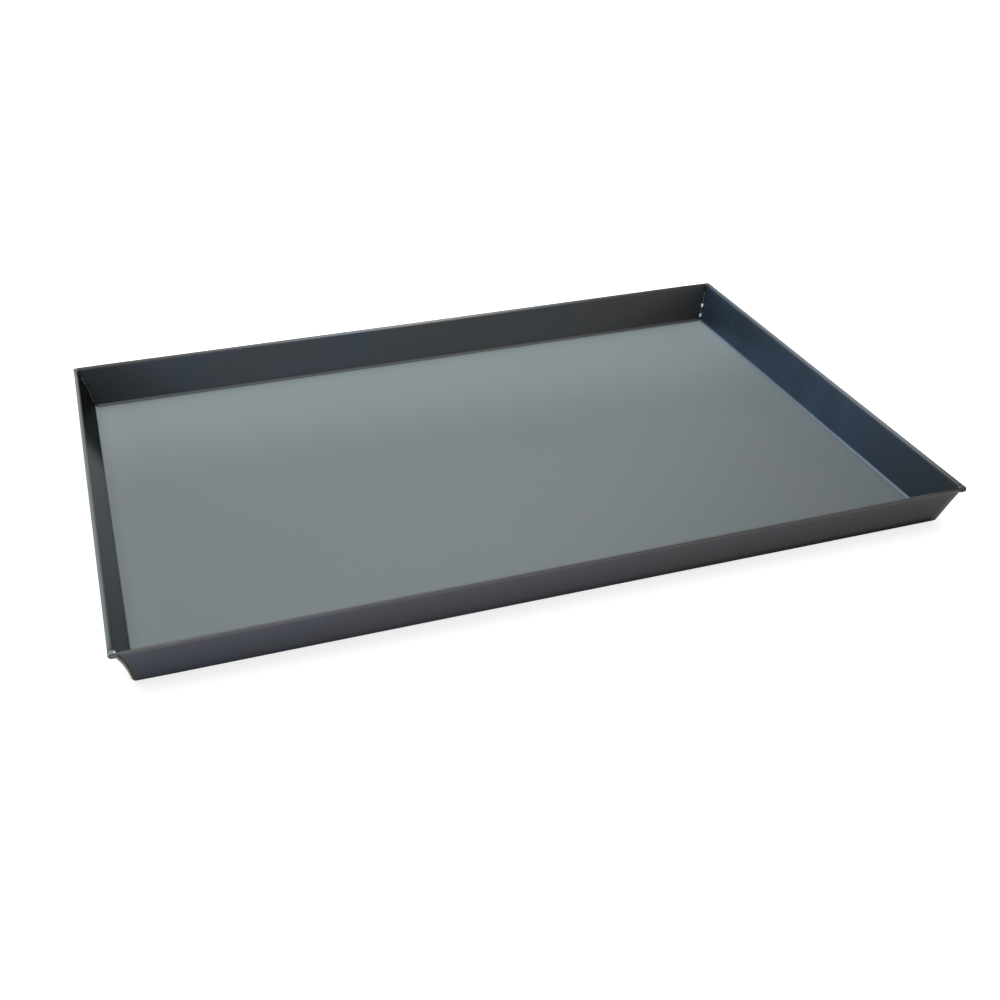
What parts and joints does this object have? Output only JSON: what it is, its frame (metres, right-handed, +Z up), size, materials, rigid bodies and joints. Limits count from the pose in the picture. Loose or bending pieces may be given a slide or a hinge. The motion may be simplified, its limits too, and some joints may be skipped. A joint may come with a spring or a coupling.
{
  "type": "sheet pan",
  "caption": "Shallow flat rectangular pan folded from dark blued steel sheet, with flared walls, a narrow turned-out lip and welded corners.",
  "frame": {"origin": "centre of the underside of the floor, on the surface that the pan stands on", "axes": "+X along the long sides, +Y across the pan towards the back, +Z up out of the pan"},
  "size_m": [0.6012, 0.4012, 0.034],
  "materials": {
    "blued_sheet": "satin heat-blued steel",
    "seam_metal": "dark oxidised weld seam",
    "bead_metal": "rippled weld metal with heat tint"
  },
  "bodies": {
    "root": {"tray_sheet": "blued_sheet", "seam_weld_front_left": "seam_metal", "inner_bead_front_left": "bead_metal", "seam_weld_front_right": "seam_metal", "inner_bead_front_right": "bead_metal", "seam_weld_back_right": "seam_metal", "inner_bead_back_right": "bead_metal", "seam_weld_back_left": "seam_metal", "inner_bead_back_left": "bead_metal", "rim_tack_front_left": "bead_metal", "rim_tack_front_right": "bead_metal", "rim_tack_back_right": "bead_metal", "rim_tack_back_left": "bead_metal"}
  },
  "joints": []
}
